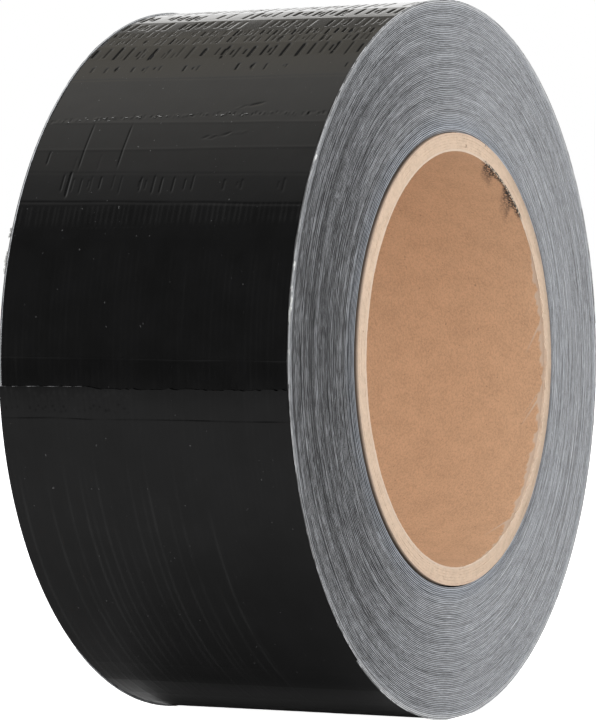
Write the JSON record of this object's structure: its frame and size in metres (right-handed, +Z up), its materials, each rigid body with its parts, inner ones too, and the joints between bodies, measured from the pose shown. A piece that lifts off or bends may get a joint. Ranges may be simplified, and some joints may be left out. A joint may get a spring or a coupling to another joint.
{
  "type": "grip tape roll",
  "caption": "Roll of black cloth-reinforced adhesive tape wound on a spiral-wound paperboard core, with a loose end that peels off the roll.",
  "frame": {"origin": "centre of the core's bore, halfway along the roll", "axes": "+Y along the roll's axis away from the face seen in the picture, +Z up with the roll standing on its tread, +X to the right when looking at the seen face; the loose end's cut edge is on the -X side"},
  "size_m": [0.1313, 0.059, 0.1312],
  "materials": {
    "core_liner": "brown kraft paper, matt and fibrous, with a helical butt seam",
    "core_board": "pale grey-cream board plies, matt, cut edges slightly fuzzy",
    "core_cover": "smooth pale paper under the first turn of tape",
    "tape_film": "black polyethylene film, semi-gloss, faintly embossed by the cloth below",
    "tape_scrim": "open-weave cotton and polyester cloth",
    "tape_adhesive": "grey pressure-sensitive rubber adhesive, tacky and slightly rough"
  },
  "bodies": {
    "roll": {"core_liner_ply": "core_liner", "core_board_ply_1": "core_board", "core_board_ply_2": "core_board", "core_board_ply_3": "core_board", "core_board_ply_4": "core_board", "core_board_ply_5": "core_board", "core_cover_ply": "core_cover", "wound_adhesive": "tape_adhesive", "wound_scrim": "tape_scrim", "wound_film": "tape_film", "outer_turn_adhesive": "tape_adhesive", "outer_turn_scrim": "tape_scrim", "outer_turn_film": "tape_film"},
    "lead_1": {"lead_1_adhesive": "tape_adhesive", "lead_1_scrim": "tape_scrim", "lead_1_film": "tape_film"},
    "lead_2": {"lead_2_adhesive": "tape_adhesive", "lead_2_scrim": "tape_scrim", "lead_2_film": "tape_film"},
    "lead_3": {"lead_3_adhesive": "tape_adhesive", "lead_3_scrim": "tape_scrim", "lead_3_film": "tape_film"},
    "lead_4": {"lead_4_adhesive": "tape_adhesive", "lead_4_scrim": "tape_scrim", "lead_4_film": "tape_film"},
    "lead_5": {"lead_5_adhesive": "tape_adhesive", "lead_5_scrim": "tape_scrim", "lead_5_film": "tape_film"},
    "lead_6": {"lead_6_adhesive": "tape_adhesive", "lead_6_scrim": "tape_scrim", "lead_6_film": "tape_film"}
  },
  "joints": [
    {"name": "lead_peel", "type": "hinge", "parent": "roll", "child": "lead_1", "pos_m": [-0.04138, 0, -0.0511], "axis": [0, -1, 0], "range_deg": [0, 45], "stiffness_Nm_per_rad": 0.012, "springref_deg": -0.92},
    {"name": "lead_flex_2", "type": "hinge", "parent": "lead_1", "child": "lead_2", "pos_m": [-0.04809, 0, -0.04483], "axis": [0, -1, 0], "range_deg": [0, 10], "stiffness_Nm_per_rad": 0.0072, "springref_deg": -0.97},
    {"name": "lead_flex_3", "type": "hinge", "parent": "lead_2", "child": "lead_3", "pos_m": [-0.05387, 0, -0.0377], "axis": [0, -1, 0], "range_deg": [0, 10], "stiffness_Nm_per_rad": 0.0037, "springref_deg": -0.97},
    {"name": "lead_flex_4", "type": "hinge", "parent": "lead_3", "child": "lead_4", "pos_m": [-0.0586, 0, -0.02982], "axis": [0, -1, 0], "range_deg": [0, 10], "stiffness_Nm_per_rad": 0.0016, "springref_deg": -0.97},
    {"name": "lead_flex_5", "type": "hinge", "parent": "lead_4", "child": "lead_5", "pos_m": [-0.06219, 0, -0.02137], "axis": [0, -1, 0], "range_deg": [0, 10], "stiffness_Nm_per_rad": 0.00047, "springref_deg": -1.03},
    {"name": "lead_flex_6", "type": "hinge", "parent": "lead_5", "child": "lead_6", "pos_m": [-0.06457, 0, -0.0125], "axis": [0, -1, 0], "range_deg": [0, 10], "stiffness_Nm_per_rad": 0.000059, "springref_deg": -1.09}
  ]
}
